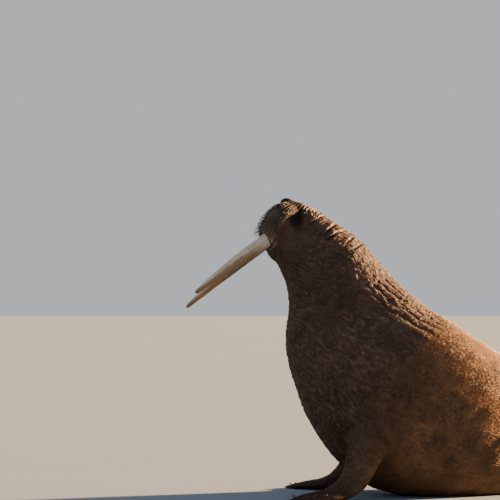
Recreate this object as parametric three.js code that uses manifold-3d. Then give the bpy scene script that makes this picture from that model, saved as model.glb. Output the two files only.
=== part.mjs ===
// A bull walrus at life size, sitting up on its fore flippers with its head thrown back and its tusks forward.
// Millimetres, +Z up. It faces -X, its left side is towards -Y, and it rests on the plane z = 0.
import * as THREE from 'three';
import { LoftGeometry } from 'three/addons/geometries/LoftGeometry.js';
import { mergeVertices } from 'three/addons/utils/BufferGeometryUtils.js';
import Module from 'manifold-3d';

const wasm = await Module();
wasm.setup();

// Driving dimensions
const GAP = 0.3; // left between neighbouring pieces
const COLUMNS = 36; // points round the body
const STEPS = 2; // sections from one station to the next
const FOLD_STEPS = 4; // the same, where the nape is folded
const SIDES = { left: -1, right: 1 };

// The head has a frame of its own, level with its palate: x runs back from the nose, z up to the crown.
// base is that frame's origin, in the nape, and the angles turn it into the pose.
const HEAD = { base: [143, 0, 1270], pitch: 50.3, yaw: -3, roll: -13 };

// Stations of the head in its own frame: x, top and bottom of the section, and half its width.
const HEAD_STATIONS = [
  { x: -352, top: 114, bottom: -8, side: 54, full: 2.1, turn: 1 },
  { x: -325, top: 154, bottom: -62, side: 84, full: 2.2, turn: 1 },
  { x: -272, top: 184, bottom: -112, side: 104, full: 2.3, turn: 1 },
  { x: -215, top: 205, bottom: -138, side: 122, full: 2.4, turn: 1 },
  { x: -150, top: 219, bottom: -152, side: 150, full: 2.3, turn: 0.9 },
  { x: -88, top: 232, bottom: -166, side: 182, full: 2.2, turn: 0.75 },
  { x: -30, top: 247, bottom: -182, side: 210, full: 2.1, turn: 0.55 },
];

// Stations of the body: the point of the back and of the throat, chest or belly that a section joins.
const BODY_STATIONS = [
  { back: [392, 1392], belly: [5, 1072], side: 254, full: 2, turn: 0.35 },
  { back: [484, 1302], belly: [4, 985], side: 294, full: 2, turn: 0.15 },
  { back: [616, 1156], belly: [-13, 893], side: 346, full: 2.1, turn: 0 },
  { back: [749, 1040], belly: [-10, 765], side: 392, full: 2.1, turn: 0 },
  { back: [891, 950], belly: [26, 621], side: 428, full: 2.1, turn: 0 },
  { back: [1055, 836], belly: [102, 423], side: 450, full: 2.2, turn: 0 },
  { back: [1252, 728], belly: [236, 225], side: 460, full: 2.2, turn: 0 },
  { back: [1424, 644], belly: [452, 46], side: 460, full: 2.2, turn: 0 },
  { back: [1585, 582], belly: [736, -16], side: 446, full: 2.2, turn: 0 },
  { back: [1764, 522], belly: [1058, -20], side: 418, full: 2.2, turn: 0 },
  { back: [1935, 456], belly: [1382, -20], side: 374, full: 2.2, turn: 0 },
  { back: [2090, 378], belly: [1694, -16], side: 310, full: 2.2, turn: 0 },
  { back: [2230, 280], belly: [1966, 0], side: 230, full: 2.1, turn: 0 },
  { back: [2330, 188], belly: [2202, 30], side: 134, full: 2, turn: 0 },
  { back: [2402, 126], belly: [2362, 44], side: 62, full: 2, turn: 0 },
];

// The back turns aside, towards +Y, by this angle between two places along X.
const BEND = { from: 480, to: 1180, angle: 40 };

const FOLDED = [4, 8]; // stations between which the nape is folded

// Rolls of the folded nape: where along the stations, how wide and how high.
const ROLLS = [
  { at: 4.5, width: 0.34, height: 7 },
  { at: 5.5, width: 0.36, height: 10 },
  { at: 6.5, width: 0.36, height: 13 },
  { at: 7.4, width: 0.3, height: 9 },
];
const ROLL_REACH = 1.25; // radians from the ridge of the nape to where a roll ends

// Swellings of the head: their middle in its frame, their half lengths and how they are tilted.
const WHISKER_PAD = { at: [-301, 66, -2], size: [80, 90, 114], tilt: [0, -8, 0], detail: [20, 14] };
const UPPER_LIP = { at: [-310, 0, -90], size: [40, 52, 47], tilt: [0, 0, 0], detail: [14, 10] };
const NOSE = { at: [-330, 0, 86], size: [58, 68, 52], tilt: [0, 30, 0], detail: [14, 10] };
const BROW = { at: [-205, 92, 126], size: [50, 34, 34], tilt: [0, 12, 0], detail: [12, 8] };
const CHIN = { at: [-188, 0, -120], size: [70, 58, 50], tilt: [0, 6, 0], detail: [16, 10] };
const NOSTRIL = { at: [-388, 24, 84], size: [30, 7, 17], tilt: [28, 0, 12], detail: [12, 8] };
const EYE = { at: [-240, 104, 98], radius: 20 };
const LID = { size: [27, 25, 27], opening: [17, 30, 10], tilt: [8, 0, 14] };
const EAR = { at: 4.6, angle: 1.35, radius: 6, depth: 16 };

// Whiskers stand on the front and the sides of the pads, longest at the sides.
const WHISKERS = { each: 52, radius: 1.6, tip: 0.45, shortest: 34, longest: 66, sunk: 10 };

// Tusks: the root in the head's frame, the depth and width there and at the tip, and how they bow.
const TUSK = { root: [-264, 64, -50], deep: 38, wide: 26, tipDeep: 9, tipWide: 7, bow: 7, columns: 14, rings: 9 };
const TUSKS = {
  left: { start: 8, drop: 590, lean: -26, spread: 34 },
  right: { start: 0, drop: 636, lean: 2, spread: 40 },
};

// The lip wraps each tusk's root in a sleeve: its half depth and half width at each height, and how far
// its rear edge hangs below the front one.
const TUSK_LIP = {
  rings: [
    { z: -44, deep: 48, wide: 38 },
    { z: -78, deep: 59, wide: 47 },
    { z: -108, deep: 56, wide: 44 },
    { z: -129, deep: 49, wide: 37 },
    { z: -138, deep: 41, wide: 29 },
  ],
  hang: 9,
  columns: 16,
};

// Flippers: stations along the middle line, with the half width and half thickness there.
const FORE_FLIPPER = {
  stations: [
    { at: [452, 290, 420], wide: 124, thick: 96 },
    { at: [410, 398, 240], wide: 122, thick: 84 },
    { at: [334, 458, 86], wide: 114, thick: 58 },
    { at: [240, 520, 34], wide: 128, thick: 38 },
    { at: [150, 590, 22], wide: 142, thick: 26 },
    { at: [62, 664, 9], wide: 118, thick: 10 },
  ],
  across: [0.5, 0.86, 0],
  digits: 5,
  reach: (c) => 34 - 46 * (c + 0.35) ** 2,
  claw: { at: 0.86, length: 22, radius: 5 },
};
const HIND_FLIPPER = {
  stations: [
    { at: [2060, 112, 140], wide: 108, thick: 92 },
    { at: [2190, 158, 96], wide: 100, thick: 70 },
    { at: [2295, 198, 46], wide: 106, thick: 42 },
    { at: [2400, 244, 27], wide: 136, thick: 29 },
    { at: [2505, 294, 16], wide: 174, thick: 17 },
    { at: [2595, 338, 7], wide: 198, thick: 8 },
  ],
  across: [-0.42, 0.9, 0],
  digits: 5,
  reach: (c) => 86 * c * c - 10,
  claw: { at: 0.8, length: 26, radius: 5 },
};
const FLIPPER_RINGS = 13;

const HIDE = 0x7a5a45;
const COLOURS = { hide: HIDE, pad: 0x8a6a55, web: 0x5c4436, tusk: 0xcfc2a6, eye: 0x1a1210 };

const vec = (x, y, z) => new THREE.Vector3(x, y, z);
const radians = THREE.MathUtils.degToRad;
const { clamp, lerp, smoothstep, seededRandom } = THREE.MathUtils;
const rounded = (value, power) => Math.sign(value) * Math.abs(value) ** power;

// A closed geometry as a solid for joining and cutting, with its faces turned out.
function solid(geometry) {
  const bare = new THREE.BufferGeometry().setIndex(geometry.index);
  bare.setAttribute('position', geometry.getAttribute('position'));
  const merged = mergeVertices(bare, 1e-3);
  const position = merged.getAttribute('position');
  const triVerts = new Uint32Array(merged.index.array);
  const [a, b, c] = [vec(), vec(), vec()];
  let volume = 0;
  for (let i = 0; i < triVerts.length; i += 3) {
    a.fromBufferAttribute(position, triVerts[i]);
    b.fromBufferAttribute(position, triVerts[i + 1]);
    c.fromBufferAttribute(position, triVerts[i + 2]);
    volume += a.dot(b.cross(c));
  }
  if (volume < 0) {
    for (let i = 0; i < triVerts.length; i += 3) {
      [triVerts[i + 1], triVerts[i + 2]] = [triVerts[i + 2], triVerts[i + 1]];
    }
  }
  return new wasm.Manifold(new wasm.Mesh({ numProp: 3, vertProperties: position.array, triVerts }));
}

const join = (solids) => solids.reduce((whole, piece) => whole.add(piece));

// The largest closed body of a solid, without the scraps that cutting leaves.
function largest(piece) {
  return piece.decompose().reduce((most, body) => (body.volume() > most.volume() ? body : most));
}

// Skins rings of points, turned to run the way round that faces them outwards.
function loft(rings) {
  const middleOf = (ring) => ring.reduce((sum, point) => sum.add(point), vec(0, 0, 0)).divideScalar(ring.length);
  const first = middleOf(rings[0]);
  const normal = vec(0, 0, 0);
  rings[0].forEach((point, i) => {
    const next = rings[0][(i + 1) % rings[0].length];
    normal.add(point.clone().sub(first).cross(next.clone().sub(first)));
  });
  const backwards = normal.dot(middleOf(rings[1]).sub(first)) < 0;
  const sections = backwards ? rings.map((ring) => ring.slice().reverse()) : rings;
  return solid(new LoftGeometry(sections, { capStart: true, capEnd: true }));
}

// Everything on the side of a plane that its normal points to, a little short of the plane.
const REACH = 6000;
function side(point, normal) {
  const box = new THREE.BoxGeometry(REACH, REACH, REACH);
  const turn = new THREE.Quaternion().setFromUnitVectors(vec(0, 0, 1), normal);
  const middle = point.clone().addScaledVector(normal, REACH / 2 + GAP / 2);
  return solid(box.applyMatrix4(new THREE.Matrix4().compose(middle, turn, vec(1, 1, 1))));
}
const floor = side(vec(0, 0, GAP / 2), vec(0, 0, -1));

// The head's frame: its pitch alone, and the sideways turn that the neck takes up bit by bit.
const headBase = vec(...HEAD.base);
const headPitch = new THREE.Quaternion().setFromAxisAngle(vec(0, 1, 0), radians(HEAD.pitch));
const headTurn = headPitch
  .clone()
  .multiply(new THREE.Quaternion().setFromEuler(new THREE.Euler(radians(HEAD.roll), 0, radians(HEAD.yaw), 'ZYX')))
  .multiply(headPitch.clone().invert());
const inHead = new THREE.Matrix4().compose(headBase, headTurn.clone().multiply(headPitch), vec(1, 1, 1));

// A station as its middle, the vector up to the back and the vector out to the side.
function frameOf({ x, top, bottom, back, belly, side: half, full, turn }) {
  const inPitch = (z) => vec(x, 0, z).applyQuaternion(headPitch).add(headBase);
  const upper = back ? vec(back[0], 0, back[1]) : inPitch(top);
  const lower = belly ? vec(belly[0], 0, belly[1]) : inPitch(bottom);
  const turned = new THREE.Quaternion().slerp(headTurn, turn);
  return {
    middle: upper.clone().add(lower).multiplyScalar(0.5).sub(headBase).applyQuaternion(turned).add(headBase),
    up: upper.sub(lower).multiplyScalar(0.5).applyQuaternion(turned),
    out: vec(0, half, 0).applyQuaternion(turned),
    full,
  };
}

const frames = [...HEAD_STATIONS, ...BODY_STATIONS].map(frameOf);
const through = (pick) => new THREE.CatmullRomCurve3(frames.map(pick));
const middles = through((f) => f.middle);
const ups = through((f) => f.up);
const outs = through((f) => f.out);
const fulls = through((f) => vec(f.full, 0, 0));

// Turns a point of the straight body aside with the bend of its back.
const bendAngle = (x) => radians(BEND.angle) * clamp((x - BEND.from) / (BEND.to - BEND.from), 0, 1);
function bent(point) {
  if (point.x <= BEND.from) return point;
  const turn = bendAngle(point.x);
  const radius = (BEND.to - BEND.from) / radians(BEND.angle);
  const beyond = Math.max(point.x - BEND.to, 0);
  return vec(
    BEND.from + radius * Math.sin(turn) + beyond * Math.cos(turn) - point.y * Math.sin(turn),
    radius * (1 - Math.cos(turn)) + beyond * Math.sin(turn) + point.y * Math.cos(turn),
    point.z,
  );
}

function rollHeight(at, angle) {
  if (Math.abs(angle) > ROLL_REACH) return 0;
  const across = Math.cos((angle / ROLL_REACH) * (Math.PI / 2));
  return across * ROLLS.reduce((sum, r) => sum + r.height * Math.exp(-(((at - r.at) / r.width) ** 2)), 0);
}

// A point of the body's surface: its place counted in stations, and its angle from the ridge of the back.
function skinPoint(at, angle, grow = 0) {
  const t = at / (frames.length - 1);
  const up = ups.getPoint(t);
  const out = outs.getPoint(t);
  const power = 2 / fulls.getPoint(t).x;
  up.setLength(up.length() + grow);
  out.setLength(out.length() + grow);
  const point = up.multiplyScalar(rounded(Math.cos(angle), power));
  point.addScaledVector(out, rounded(Math.sin(angle), power));
  point.setLength(point.length() + rollHeight(at, angle));
  return bent(point.add(middles.getPoint(t)));
}

function trunk(grow) {
  const places = [0];
  for (let i = 0; i < frames.length - 1; i++) {
    const steps = i >= FOLDED[0] && i < FOLDED[1] ? FOLD_STEPS : STEPS;
    for (let j = 1; j <= steps; j++) places.push(i + j / steps);
  }
  const angles = Array.from({ length: COLUMNS }, (_, i) => Math.PI * ((2 * i) / COLUMNS - 1));
  return loft(places.map((at) => angles.map((angle) => skinPoint(at, angle, grow))));
}

// A rounded lump set in the head's frame.
function lump({ at, size, tilt = [0, 0, 0], detail = [16, 12] }, sign = 1, grow = 0) {
  const turn = new THREE.Euler(radians(tilt[0] * sign), radians(tilt[1]), radians(tilt[2] * sign));
  const place = new THREE.Matrix4().compose(
    vec(at[0], at[1] * sign, at[2]),
    new THREE.Quaternion().setFromEuler(turn),
    vec(...size).addScalar(grow),
  );
  return solid(new THREE.SphereGeometry(1, ...detail).applyMatrix4(place).applyMatrix4(inHead));
}
const pair = (part, grow = 0) => join([lump(part, SIDES.left, grow), lump(part, SIDES.right, grow)]);

// One side's whiskers, rooted below the surface of the pad and combed down over it.
function whiskers(sign) {
  const middle = vec(WHISKER_PAD.at[0], sign * WHISKER_PAD.at[1], WHISKER_PAD.at[2]);
  const size = vec(...WHISKER_PAD.size);
  const tilt = new THREE.Euler(0, radians(WHISKER_PAD.tilt[1]), 0);
  const golden = Math.PI * (3 - Math.sqrt(5));
  const grown = [];
  seededRandom(11);
  for (let i = 0; i < WHISKERS.each; i++) {
    const forward = 1 - (0.82 * (i + 0.5)) / WHISKERS.each;
    const ring = Math.sqrt(1 - forward * forward);
    const angle = i * golden + 0.25 * (seededRandom() - 0.5);
    const normal = vec(-forward, ring * Math.cos(angle), ring * Math.sin(angle));
    if (normal.y < -0.25 || normal.z > 0.66 || normal.z < -0.72) continue;
    normal.y *= sign;
    const at = normal.clone().multiply(size).applyEuler(tilt).add(middle);
    const lie = normal.clone().divide(size).normalize().applyEuler(tilt).multiplyScalar(0.6);
    lie.add(vec(-0.05, 0, -0.75));
    lie.add(vec(0, 0.16 * (seededRandom() - 0.5), 0.16 * (seededRandom() - 0.5))).normalize();
    const usual = lerp(WHISKERS.shortest, WHISKERS.longest, smoothstep(ring, 0.2, 1));
    const length = usual * (0.85 + 0.3 * seededRandom());
    const spine = new THREE.CylinderGeometry(WHISKERS.tip, WHISKERS.radius, length, 4, 1);
    spine.translate(0, length / 2 - WHISKERS.sunk, 0);
    const turn = new THREE.Quaternion().setFromUnitVectors(vec(0, 1, 0), lie);
    spine.applyMatrix4(new THREE.Matrix4().compose(at, turn, vec(1, 1, 1)));
    grown.push(solid(spine.applyMatrix4(inHead)));
  }
  return join(grown);
}

function tusk(sign, { start, drop, lean, spread }, grow = 0) {
  const [x, y, z] = TUSK.root;
  const sections = [];
  for (let i = 0; i <= TUSK.rings; i++) {
    const t = i / TUSK.rings;
    const taper = (1 - t ** 1.9) ** 0.9;
    const deep = lerp(TUSK.tipDeep, TUSK.deep, taper) + grow;
    const wide = lerp(TUSK.tipWide, TUSK.wide, taper) + grow;
    const bow = TUSK.bow * Math.sin(Math.PI * t);
    const middle = vec(x + start + lean * t - bow, sign * (y + spread * t * t), z - drop * t);
    sections.push(
      Array.from({ length: TUSK.columns }, (_, j) => {
        const angle = (-2 * Math.PI * j) / TUSK.columns;
        return vec(deep * Math.cos(angle), wide * Math.sin(angle), 0).add(middle).applyMatrix4(inHead);
      }),
    );
  }
  return loft(sections);
}

// The sleeve of lip round a tusk's root.
function tuskLip(sign, { start }, grow = 0) {
  const [x, y] = TUSK.root;
  const last = TUSK_LIP.rings.length - 1;
  const rings = TUSK_LIP.rings.map(({ z, deep, wide }, i) =>
    Array.from({ length: TUSK_LIP.columns }, (_, j) => {
      const angle = (-2 * Math.PI * j) / TUSK_LIP.columns;
      const hang = TUSK_LIP.hang * Math.cos(angle) * smoothstep(-z, 90, 138);
      const end = i === 0 ? grow : i === last ? -grow : 0;
      const across = vec((deep + grow) * Math.cos(angle), (wide + grow) * Math.sin(angle), end - hang);
      return across.add(vec(x + start, sign * y, z)).applyMatrix4(inHead);
    }),
  );
  return loft(rings);
}

// A flipper spread into digits, each a ridge that runs out to a tip and carries a small claw.
function flipper({ stations, across, digits, reach, claw }, sign) {
  const curve = (pick) => new THREE.CatmullRomCurve3(stations.map(pick));
  const line = curve((s) => vec(s.at[0], s.at[1] * sign, s.at[2]));
  const sizes = curve((s) => vec(s.wide, s.thick, 0));
  const [ax, ay, az] = across;
  const spreadAcross = vec(ax, ay * sign, az).normalize();
  const ridge = (c) => 0.5 + 0.5 * Math.cos(Math.PI * (digits * (c + 1) - 1));
  const surface = (t, c, height) => {
    const along = line.getTangent(t);
    const sideways = spreadAcross.clone().addScaledVector(along, -along.dot(spreadAcross)).normalize();
    const up = vec().crossVectors(along, sideways);
    if (up.z < 0) up.negate();
    const { x: wide, y: thick } = sizes.getPoint(t);
    const spread = smoothstep(t, 0.5, 1);
    const out = spread * (reach(c) + 26 * (ridge(c) - 0.5));
    const swell = 1 + 0.62 * spread * (ridge(c) - 0.6);
    const point = line
      .getPoint(t)
      .addScaledVector(along, out)
      .addScaledVector(sideways, c * wide)
      .addScaledVector(up, height * thick * swell);
    return bent(point);
  };
  // Across the flipper a column runs along each ridge and each web between two.
  const columns = Array.from({ length: 4 * digits }, (_, j) => {
    const c = j <= 2 * digits ? 1 - j / digits : (j - 2 * digits) / digits - 1;
    return [c, (j <= 2 * digits ? 1 : -1) * (1 - Math.abs(c) ** 2.6) ** 0.55];
  });
  const sections = Array.from({ length: FLIPPER_RINGS + 1 }, (_, i) =>
    columns.map(([c, height]) => surface(i / FLIPPER_RINGS, c, height)),
  );
  const claws = Array.from({ length: digits }, (_, k) => {
    const c = (2 * k + 1) / digits - 1;
    const base = surface(claw.at, c, 0.8);
    const tip = surface(claw.at + 0.06, c, 1);
    const cone = new THREE.CylinderGeometry(0.6, claw.radius, claw.length, 6, 1);
    const turn = new THREE.Quaternion().setFromUnitVectors(vec(0, 1, 0), tip.sub(base).setZ(4).normalize());
    return solid(cone.applyMatrix4(new THREE.Matrix4().compose(base, turn, vec(1, 1, 1))));
  });
  return join([loft(sections), ...claws]).subtract(floor);
}

const eye = (sign, grow = 0) =>
  lump({ at: EYE.at, size: [EYE.radius, EYE.radius, EYE.radius], detail: [12, 8] }, sign, grow);
const lids = (sign) => lump({ at: EYE.at, size: LID.size, detail: [14, 10] }, sign);
const lidOpening = (sign) => {
  const [x, y, z] = EYE.at;
  return lump({ at: [x - 4, y + 18, z], size: LID.opening, tilt: LID.tilt, detail: [10, 6] }, sign);
};

function earHole(sign) {
  const mouth = skinPoint(EAR.at, sign * EAR.angle);
  const hole = new THREE.CylinderGeometry(EAR.radius, EAR.radius * 0.6, 2 * EAR.depth, 8, 1);
  const inward = middles.getPoint(EAR.at / (frames.length - 1)).sub(mouth).normalize();
  const turn = new THREE.Quaternion().setFromUnitVectors(vec(0, -1, 0), inward);
  return solid(hole.applyMatrix4(new THREE.Matrix4().compose(mouth, turn, vec(1, 1, 1))));
}

// The muzzle and the chin are set into the head, and what joins them is cut back by a gap.
const plainMuzzle = (grow) =>
  join([
    pair(WHISKER_PAD, grow),
    tuskLip(SIDES.left, TUSKS.left, grow),
    tuskLip(SIDES.right, TUSKS.right, grow),
    lump(UPPER_LIP, 1, grow),
    lump(NOSE, 1, grow),
  ]);
const chin = (grow) => lump(CHIN, 1, grow).subtract(plainMuzzle(grow ? 0 : GAP));
const body = trunk(0).subtract(floor);
const whole = join([trunk(GAP), plainMuzzle(GAP), lump(CHIN, 1, GAP)]);
const eyes = join([eye(SIDES.left, GAP), eye(SIDES.right, GAP)]);

// Planes that part the body from the nape to the tail: a point in each and the way it faces.
const partings = {
  neck: [middles.getPoint(5.6 / (frames.length - 1)), vec(0.72, 0, -0.69)],
  chest: [middles.getPoint(10.2 / (frames.length - 1)), vec(0.42, 0, -0.91)],
  belly: [vec(900, 0, 300), vec(0.97, 0, -0.24)],
  hips: [vec(1640, 0, 250), vec(1, 0, 0)],
  tail: [vec(2190, 0, 130), vec(1, 0, 0)],
};
const names = Object.keys(partings);
function facing(name) {
  const [point, normal] = partings[name];
  return normal.clone().applyAxisAngle(vec(0, 0, 1), bendAngle(point.x)).normalize();
}
const after = (name) => side(bent(partings[name][0]), facing(name));
const before = (name) => side(bent(partings[name][0]), facing(name).negate());

const root = new THREE.Group();
function add(name, piece, colour, roughness = 0.75) {
  const { vertProperties, triVerts } = largest(piece).getMesh();
  const geometry = new THREE.BufferGeometry();
  geometry.setAttribute('position', new THREE.BufferAttribute(vertProperties, 3));
  geometry.setIndex(new THREE.BufferAttribute(triVerts, 1));
  geometry.computeVertexNormals();
  const mesh = new THREE.Mesh(geometry, new THREE.MeshStandardMaterial({ color: colour, roughness }));
  mesh.name = name;
  root.add(mesh);
}

const bothTusks = (grow) => Object.entries(SIDES).map(([name, sign]) => tusk(sign, TUSKS[name], grow));
const grownWhiskers = join([whiskers(SIDES.left), whiskers(SIDES.right)]).subtract(join(bothTusks(2)));
const muzzle = plainMuzzle(0)
  .add(grownWhiskers)
  .subtract(pair(NOSTRIL))
  .subtract(eyes);
const face = join([body.intersect(before('neck')), pair(BROW), lids(SIDES.left), lids(SIDES.right)])
  .subtract(join([plainMuzzle(GAP), chin(GAP), eyes]))
  .subtract(join([lidOpening(SIDES.left), lidOpening(SIDES.right), earHole(SIDES.left), earHole(SIDES.right)]));

add('head', face, COLOURS.hide);
add('muzzle', muzzle, COLOURS.pad);
add('lower_jaw', chin(0), COLOURS.pad);
names.forEach((name, i) => {
  const rest = body.intersect(after(name));
  add(name, i + 1 < names.length ? rest.intersect(before(names[i + 1])) : rest, COLOURS.hide);
});
for (const [name, sign] of Object.entries(SIDES)) {
  add('eye_' + name, eye(sign), COLOURS.eye, 0.1);
  add('tusk_' + name, tusk(sign, TUSKS[name]).subtract(whole), COLOURS.tusk, 0.4);
  add('fore_flipper_' + name, flipper(FORE_FLIPPER, sign).subtract(whole), COLOURS.web);
  add('hind_flipper_' + name, flipper(HIND_FLIPPER, sign).subtract(whole), COLOURS.web);
}

// The origin is under the middle of the box that holds the animal.
root.updateMatrixWorld(true);
const box = new THREE.Box3().setFromObject(root);
const middle = box.getCenter(vec());
root.position.set(-middle.x, -middle.y, -box.min.z);

export default root;
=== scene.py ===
import math
import bmesh
import bpy
import numpy as np
from mathutils import Matrix, Vector
from mathutils.kdtree import KDTree


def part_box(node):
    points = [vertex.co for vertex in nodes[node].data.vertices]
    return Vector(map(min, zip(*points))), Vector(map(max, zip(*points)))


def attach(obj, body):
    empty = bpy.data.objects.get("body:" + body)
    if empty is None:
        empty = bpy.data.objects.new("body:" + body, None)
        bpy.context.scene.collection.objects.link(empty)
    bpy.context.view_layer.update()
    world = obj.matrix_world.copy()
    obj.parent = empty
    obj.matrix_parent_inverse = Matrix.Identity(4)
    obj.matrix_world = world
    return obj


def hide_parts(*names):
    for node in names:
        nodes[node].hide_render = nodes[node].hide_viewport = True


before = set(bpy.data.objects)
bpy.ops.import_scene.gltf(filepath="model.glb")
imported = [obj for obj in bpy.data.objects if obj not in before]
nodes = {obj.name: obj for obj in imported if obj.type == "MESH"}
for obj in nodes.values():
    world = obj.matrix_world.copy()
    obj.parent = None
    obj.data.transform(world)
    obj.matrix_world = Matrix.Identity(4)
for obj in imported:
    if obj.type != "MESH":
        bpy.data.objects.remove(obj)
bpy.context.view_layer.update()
print("frame loaded")

sides = {"left": -1, "right": 1}

# The head's own frame: x runs back from the nose, z up to the crown. Its angles turn it into the pose.
head = {
    "base": (0.143, 0, 1.270), "pitch": 50.3, "yaw": -3, "roll": -13,
    "eye": (-0.240, 0.104, 0.098),
}


def placeInHead():
    turn = Matrix.Identity(4)
    for name, axis in (("pitch", "Y"), ("yaw", "Z"), ("roll", "X")):
        turn = turn @ Matrix.Rotation(math.radians(head[name]), 4, axis)
    # The frame hangs on the middle of the eyes, whose places are known in both frames.
    known = sum(((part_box("eye_" + s)[0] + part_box("eye_" + s)[1]) / 2 for s in sides), Vector()) / 2
    x, y, z = head["eye"]
    return Matrix.Translation(known - turn @ Vector((x, 0, z))) @ turn


headMatrix = placeInHead()
headArray = np.array(headMatrix)
shift = headMatrix.translation - Vector(head["base"])


def toHead(points):
    inverse = np.linalg.inv(headArray)
    return points @ inverse[:3, :3].T + inverse[:3, 3]


def fromHead(points):
    return np.asarray(points) @ headArray[:3, :3].T + headArray[:3, 3]


# Small helpers for numbers and meshes

def smoothStep(x, low, high):
    t = np.clip((x - low) / (high - low), 0, 1)
    return t * t * (3 - 2 * t)


def bell(x, middle, width):
    return np.exp(-((x - middle) / width) ** 2)


def latticeRandom(cells, seed):
    n = (cells[..., 0] * 73856093) ^ (cells[..., 1] * 19349663) ^ (cells[..., 2] * 83492791) ^ (seed * 2654435761)
    n = (n ^ (n >> 13)) * 1274126177 & 0xFFFFFFFF
    return ((n ^ (n >> 16)) & 0xFFFFFF) / float(0xFFFFFF)


def softNoise(points, size, seed, octaves=1):
    total, weight = np.zeros(len(points)), 1.0
    for octave in range(octaves):
        p = points / (size / 2 ** octave)
        cell = np.floor(p).astype(np.int64)
        f = p - cell
        f = f * f * (3 - 2 * f)
        value = np.zeros(len(points))
        for corner in np.ndindex(2, 2, 2):
            c = np.array(corner)
            amount = np.prod(np.where(c == 1, f, 1 - f), axis=1)
            value += amount * latticeRandom(cell + c, seed + octave)
        total += weight * (2 * value - 1)
        weight *= 0.5
    return total


def nearestCells(points, size, seed):
    p = points / size
    cell = np.floor(p).astype(np.int64)
    first, second = np.full(len(p), 9.0), np.full(len(p), 9.0)
    tag = np.zeros(len(p))
    for offset in np.ndindex(3, 3, 3):
        c = cell + np.array(offset) - 1
        spot = c + 0.12 + 0.76 * np.stack([latticeRandom(c, seed + k) for k in (1, 2, 3)], axis=1)
        gap = np.linalg.norm(p - spot, axis=1)
        nearer = gap < first
        second = np.where(nearer, first, np.minimum(second, gap))
        tag = np.where(nearer, latticeRandom(c, seed + 9), tag)
        first = np.minimum(first, gap)
    return first * size, second * size, tag


def meshFrom(name, points, faces, smooth=True):
    mesh = bpy.data.meshes.new(name)
    faces = np.asarray(faces)
    mesh.vertices.add(len(points))
    mesh.vertices.foreach_set("co", np.asarray(points, np.float32).ravel())
    count, around = faces.shape
    mesh.loops.add(count * around)
    mesh.loops.foreach_set("vertex_index", faces.ravel().astype(np.int32))
    mesh.polygons.add(count)
    mesh.polygons.foreach_set("loop_start", np.arange(0, count * around, around, dtype=np.int32))
    mesh.update(calc_edges=True)
    mesh.polygons.foreach_set("use_smooth", np.full(count, smooth))
    return mesh


def show(name, mesh, material, slot, *replaced):
    piece = bpy.data.objects.new(name, mesh)
    bpy.context.scene.collection.objects.link(piece)
    mesh.materials.clear()
    mesh.materials.append(material)
    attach(piece, "root")
    if replaced:
        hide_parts(*replaced)
    return piece


def pointsOf(mesh):
    points = np.empty(len(mesh.vertices) * 3, np.float32)
    mesh.vertices.foreach_get("co", points)
    return points.reshape(-1, 3).astype(float)


def normalsOf(mesh):
    normals = np.empty(len(mesh.vertices) * 3, np.float32)
    mesh.vertex_normals.foreach_get("vector", normals)
    return normals.reshape(-1, 3).astype(float)


def edgesOf(mesh):
    edges = np.empty(len(mesh.edges) * 2, np.int32)
    mesh.edges.foreach_get("vertices", edges)
    return edges.reshape(-1, 2)


def relaxed(points, edges, strength, rounds):
    a, b = edges[:, 0], edges[:, 1]
    count = len(points)
    degree = np.maximum(np.bincount(a, minlength=count) + np.bincount(b, minlength=count), 1)
    for _ in range(rounds):
        moved = np.empty_like(points)
        for k in range(3):
            near = np.bincount(a, points[b, k], count) + np.bincount(b, points[a, k], count)
            moved[:, k] = near / degree - points[:, k]
        points = points + moved * strength[:, None]
    return points


# Materials

def toLinear(hexText):
    parts = [int(hexText[i:i + 2], 16) / 255 for i in (1, 3, 5)]
    return tuple(c / 12.92 if c <= 0.04045 else ((c + 0.055) / 1.055) ** 2.4 for c in parts) + (1.0,)


def addNode(tree, kind, values=None, links=None, **settings):
    node = tree.nodes.new(kind)
    for key, value in settings.items():
        setattr(node, key, value)
    for key, value in (values or {}).items():
        node.inputs[key].default_value = value
    for key, source in (links or {}).items():
        tree.links.new(source, node.inputs[key])
    return node


def newMaterial(name):
    material = bpy.data.materials.new(name)
    material.use_nodes = True
    tree = material.node_tree
    tree.nodes.clear()
    return material, tree


def blendColours(tree, amount, low, high):
    node = tree.nodes.new("ShaderNodeMix")
    node.data_type = "RGBA"
    for socket, value in ((node.inputs[0], amount), (node.inputs[6], low), (node.inputs[7], high)):
        if isinstance(value, tuple):
            socket.default_value = value
        else:
            tree.links.new(value, socket)
    return node.outputs[2]


def marksOf(tree, *names):
    return {name: addNode(tree, "ShaderNodeAttribute", attribute_name=name).outputs["Fac"] for name in names}


def noiseOf(tree, place, values):
    return addNode(tree, "ShaderNodeTexNoise", values, {"Vector": place}).outputs["Fac"]


def stretchedBetween(tree, value, low, high, top=1.0):
    # Spreads the values between low and high over 0 to top
    limits = {"From Min": low, "From Max": high, "To Max": top}
    return addNode(tree, "ShaderNodeMapRange", limits, {"Value": value}).outputs[0]


def bumped(tree, height, strength, distance, under=None):
    links = {"Height": height, "Normal": under} if under else {"Height": height}
    return addNode(tree, "ShaderNodeBump", {"Strength": strength, "Distance": distance}, links).outputs[0]


# The near-black colour is painted shade for creases, pits, slits and the nose top; it also gives dark spots on the
# lips.
hideLook = {
    "dark": "#2b211b", "middle": "#4a382f", "light": "#7c5e45", "boss": "#6f584f", "paintedShadeAndSpots": "#1d1411",
    "pale": "#988579", "bare": "#362a25", "hair": "#a0754a",
}
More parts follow.
